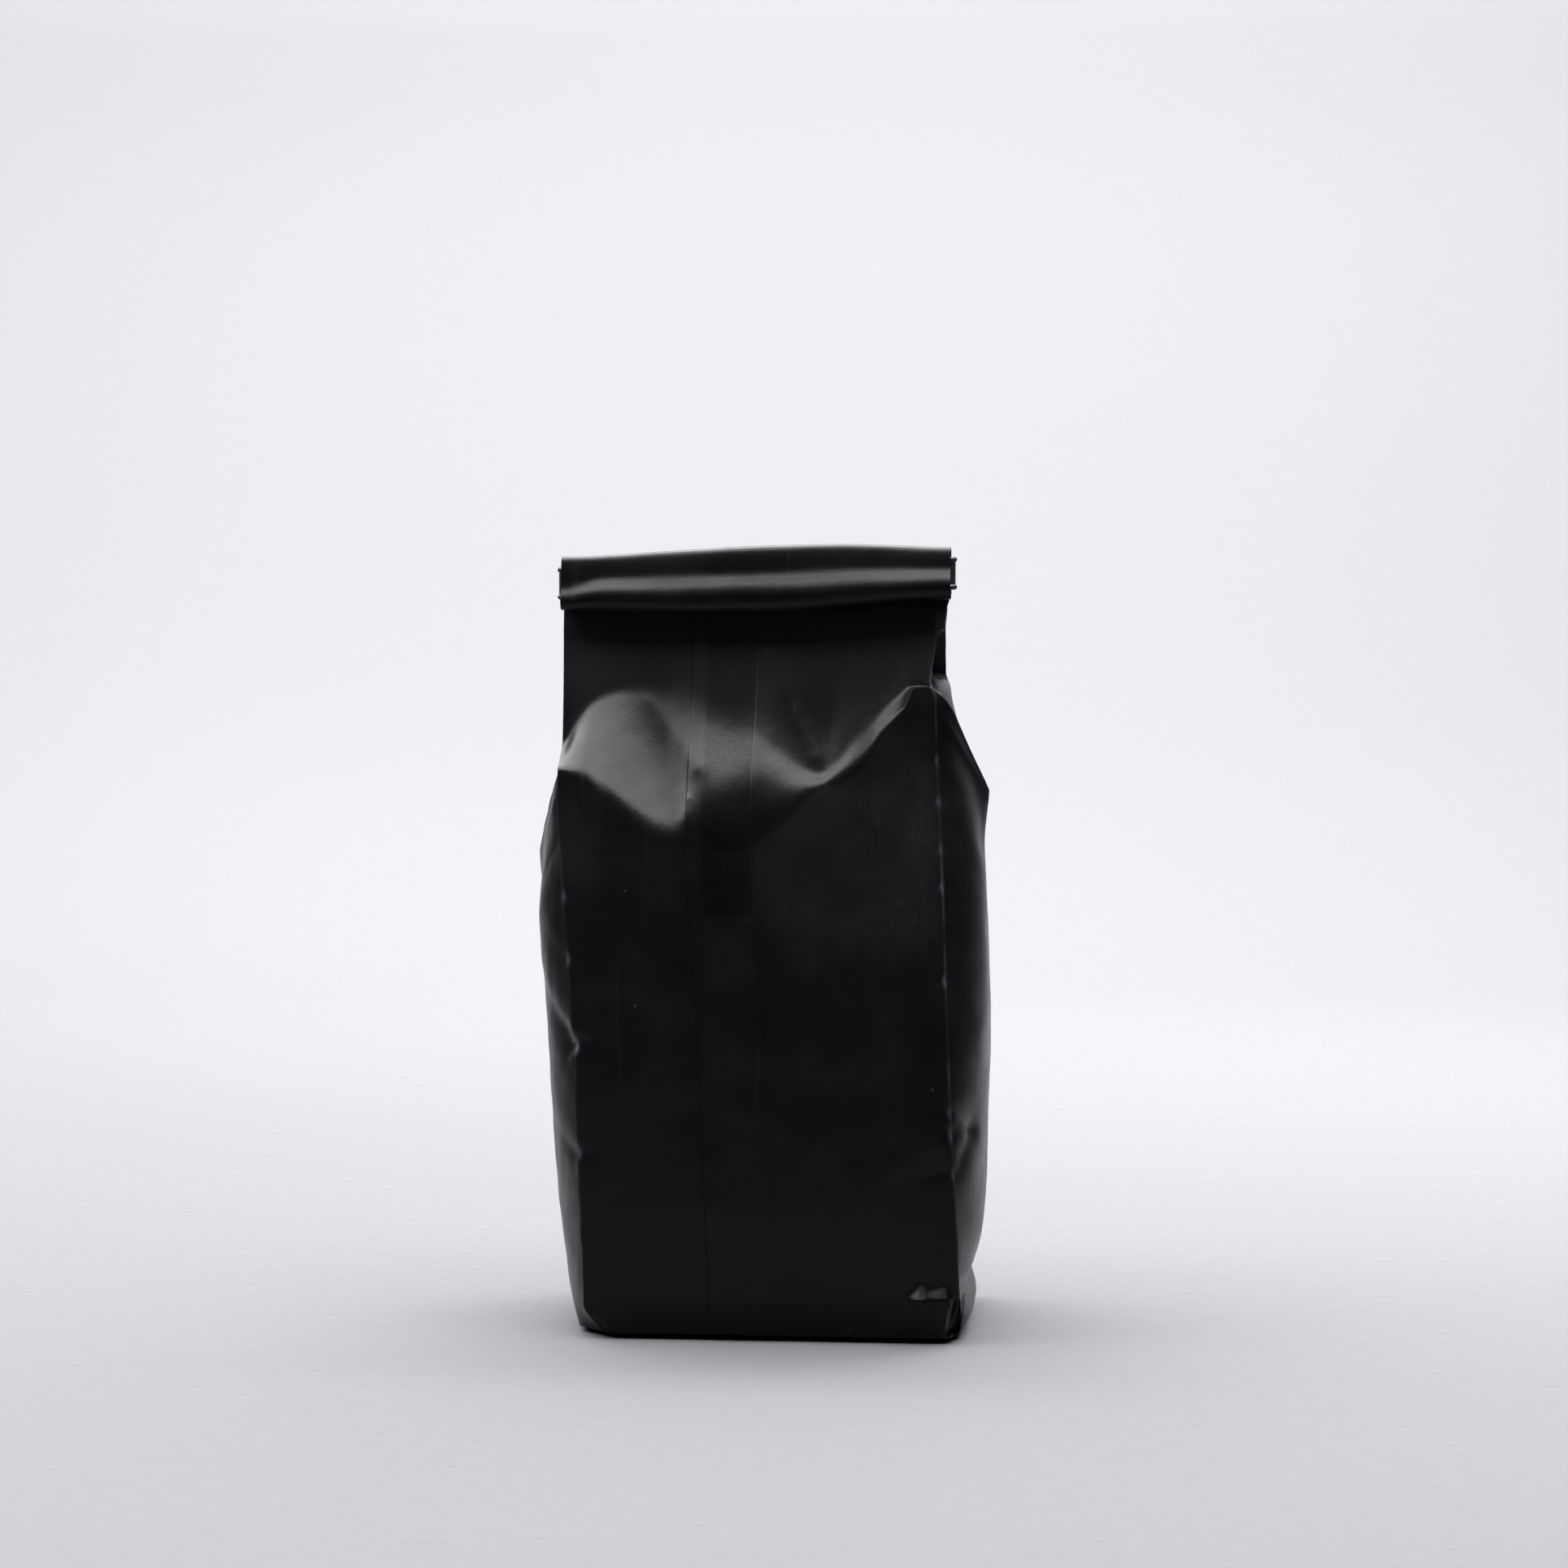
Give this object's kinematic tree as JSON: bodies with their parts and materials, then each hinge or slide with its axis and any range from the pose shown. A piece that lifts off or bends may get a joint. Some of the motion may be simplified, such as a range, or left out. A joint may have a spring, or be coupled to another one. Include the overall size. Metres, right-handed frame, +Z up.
{
  "type": "side gusset coffee bag",
  "caption": "Filled side-gusset coffee bag standing upright, lap seam on one panel, top rolled forward and held by a tin tie bent round the roll.",
  "frame": {"origin": "on the surface that the bag stands on, under the middle of its bounding box", "axes": "+Z up, -Y out of the panel with the lap seam, +X to the right when that panel is looked at"},
  "size_m": [0.1023, 0.062, 0.1748],
  "materials": {
    "film": "satin black foil film",
    "tie": "matt black coated band with a wire along each edge"
  },
  "bodies": {
    "root": {"bag": "film", "tin_tie": "tie"}
  },
  "joints": []
}
